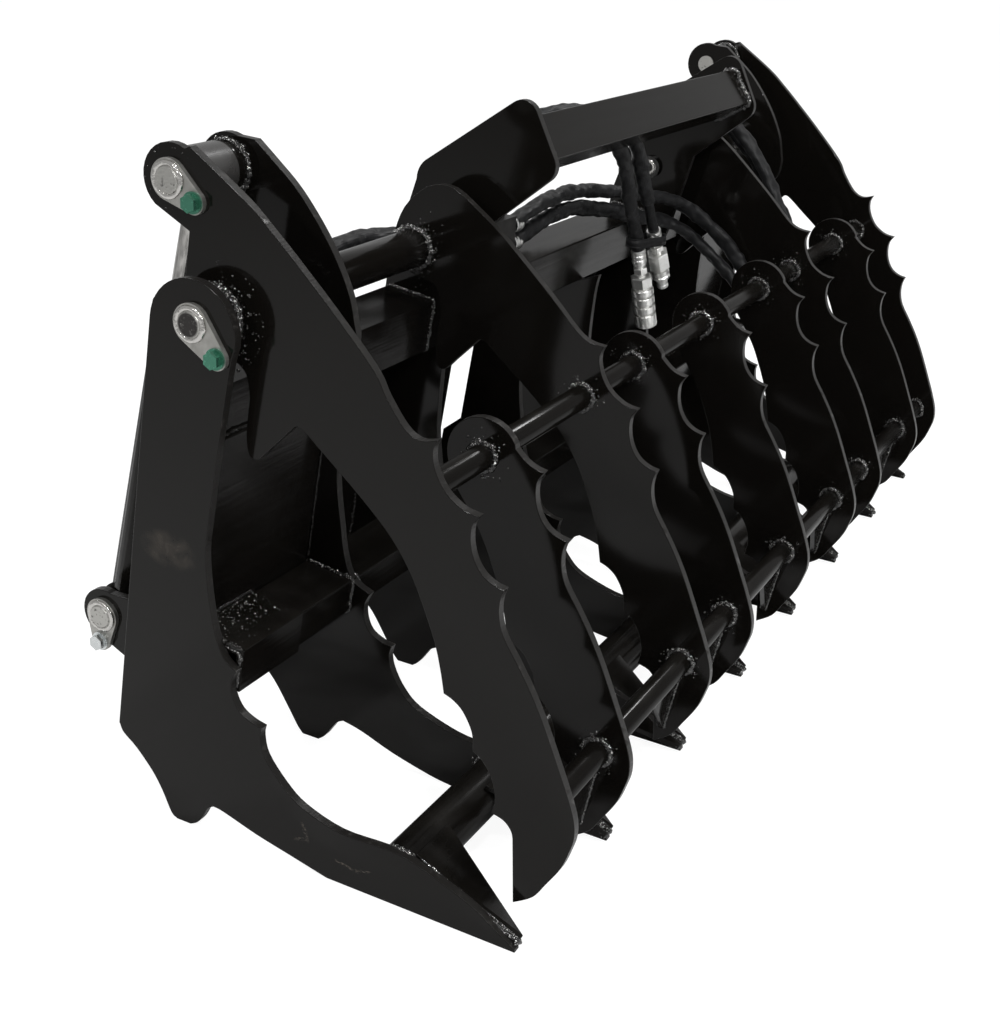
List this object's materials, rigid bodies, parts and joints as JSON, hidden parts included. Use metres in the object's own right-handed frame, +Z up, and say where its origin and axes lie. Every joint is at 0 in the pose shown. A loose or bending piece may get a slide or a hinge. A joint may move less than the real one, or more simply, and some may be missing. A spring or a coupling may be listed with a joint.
{
  "type": "root grapple",
  "caption": "Loader attachment with upright side plates, toothed bottom tines and a hinged toothed lid that two hydraulic cylinders open over them.",
  "frame": {"origin": "centre of the footprint on the ground, under the middle of the grapple", "axes": "+X across the grapple to its right hand as seen from the tips, -Y towards the tips, +Z up"},
  "size_m": [1.872, 0.7213, 0.886],
  "materials": {
    "black_paint": "gloss powder coat",
    "zinc_plate": "dull zinc plate",
    "pin_steel": "dark machined steel",
    "green_bolts": "green zinc",
    "frame_bolts": "zinc plate",
    "bronze": "plain bearing bronze",
    "chrome_rod": "hard chrome",
    "bare_steel": "turned steel",
    "hose_sleeve": "woven nylon sleeve"
  },
  "bodies": {
    "frame": {"side_plate_left": "black_paint", "side_plate_right": "black_paint", "bottom_tine_2": "black_paint", "bottom_tine_3_with_ear": "black_paint", "bottom_tine_4": "black_paint", "bottom_tine_5": "black_paint", "bottom_tine_6_with_ear": "black_paint", "bottom_tine_7": "black_paint", "tip_plates": "black_paint", "front_pipe": "black_paint", "lower_cross_tube": "black_paint", "lower_tube_sleeves": "black_paint", "upper_cross_tube": "black_paint", "top_tube": "black_paint", "back_panels": "black_paint", "quick_attach_plates": "black_paint", "cylinder_lugs": "black_paint", "pivot_pins": "pin_steel", "lower_cylinder_pins": "pin_steel", "frame_pin_flags": "zinc_plate", "frame_flag_bolts": "frame_bolts", "supply_hose_1": "hose_sleeve", "supply_hose_2": "hose_sleeve", "right_hose_upper": "hose_sleeve", "right_hose_lower": "hose_sleeve", "left_hose_upper": "hose_sleeve", "left_hose_lower": "hose_sleeve", "coupler_female": "zinc_plate", "coupler_male": "zinc_plate", "coupler_strap": "hose_sleeve", "hose_manifold": "zinc_plate"},
    "lid": {"lid_arm_left": "black_paint", "lid_arm_right": "black_paint", "lid_tine_2": "black_paint", "lid_tine_3": "black_paint", "lid_tine_4": "black_paint", "lid_tine_5": "black_paint", "lid_tine_6": "black_paint", "lid_tine_7": "black_paint", "lid_tine_8": "black_paint", "lid_clevis_ear_left": "black_paint", "lid_clevis_ear_right": "black_paint", "lid_pivot_tube_left": "black_paint", "lid_pivot_tube_right": "black_paint", "lid_upper_tube": "black_paint", "lid_lower_tube": "black_paint", "lid_gussets": "black_paint", "lid_pin_flags": "zinc_plate", "lid_flag_bolts": "green_bolts", "rod_pin_bosses": "black_paint", "rod_pins": "pin_steel", "pivot_bushings": "bronze"},
    "barrel_left": {"barrel_left": "black_paint", "gland_left": "black_paint"},
    "rod_left": {"rod_left": "chrome_rod", "piston_left": "bare_steel"},
    "barrel_right": {"barrel_right": "black_paint", "gland_right": "black_paint"},
    "rod_right": {"rod_right": "chrome_rod", "piston_right": "bare_steel"}
  },
  "joints": [
    {"name": "lid_hinge", "type": "hinge", "parent": "frame", "child": "lid", "pos_m": [0, 0.13565, 0.679], "axis": [-1, 0, 0], "range_deg": [0, 50]},
    {"name": "cylinder_left_pivot", "type": "hinge", "parent": "frame", "child": "barrel_left", "pos_m": [-0.826, 0.32565, 0.244], "axis": [-1, 0, 0], "range_deg": [0, 9]},
    {"name": "rod_left_slide", "type": "slide", "parent": "barrel_left", "child": "rod_left", "axis": [0, -0.2247, 0.9744], "range_m": [-0.106, 0]},
    {"name": "cylinder_right_pivot", "type": "hinge", "parent": "frame", "child": "barrel_right", "pos_m": [0.826, 0.32565, 0.244], "axis": [-1, 0, 0], "range_deg": [0, 9]},
    {"name": "rod_right_slide", "type": "slide", "parent": "barrel_right", "child": "rod_right", "axis": [0, -0.2247, 0.9744], "range_m": [-0.106, 0]}
  ],
  "couplings": [
    {"joint": "cylinder_left_pivot", "follows": "lid_hinge", "ratio": 0.17352},
    {"joint": "rod_left_slide", "follows": "lid_hinge", "m_per_rad": -0.11885},
    {"joint": "cylinder_right_pivot", "follows": "lid_hinge", "ratio": 0.17352},
    {"joint": "rod_right_slide", "follows": "lid_hinge", "m_per_rad": -0.11885}
  ]
}
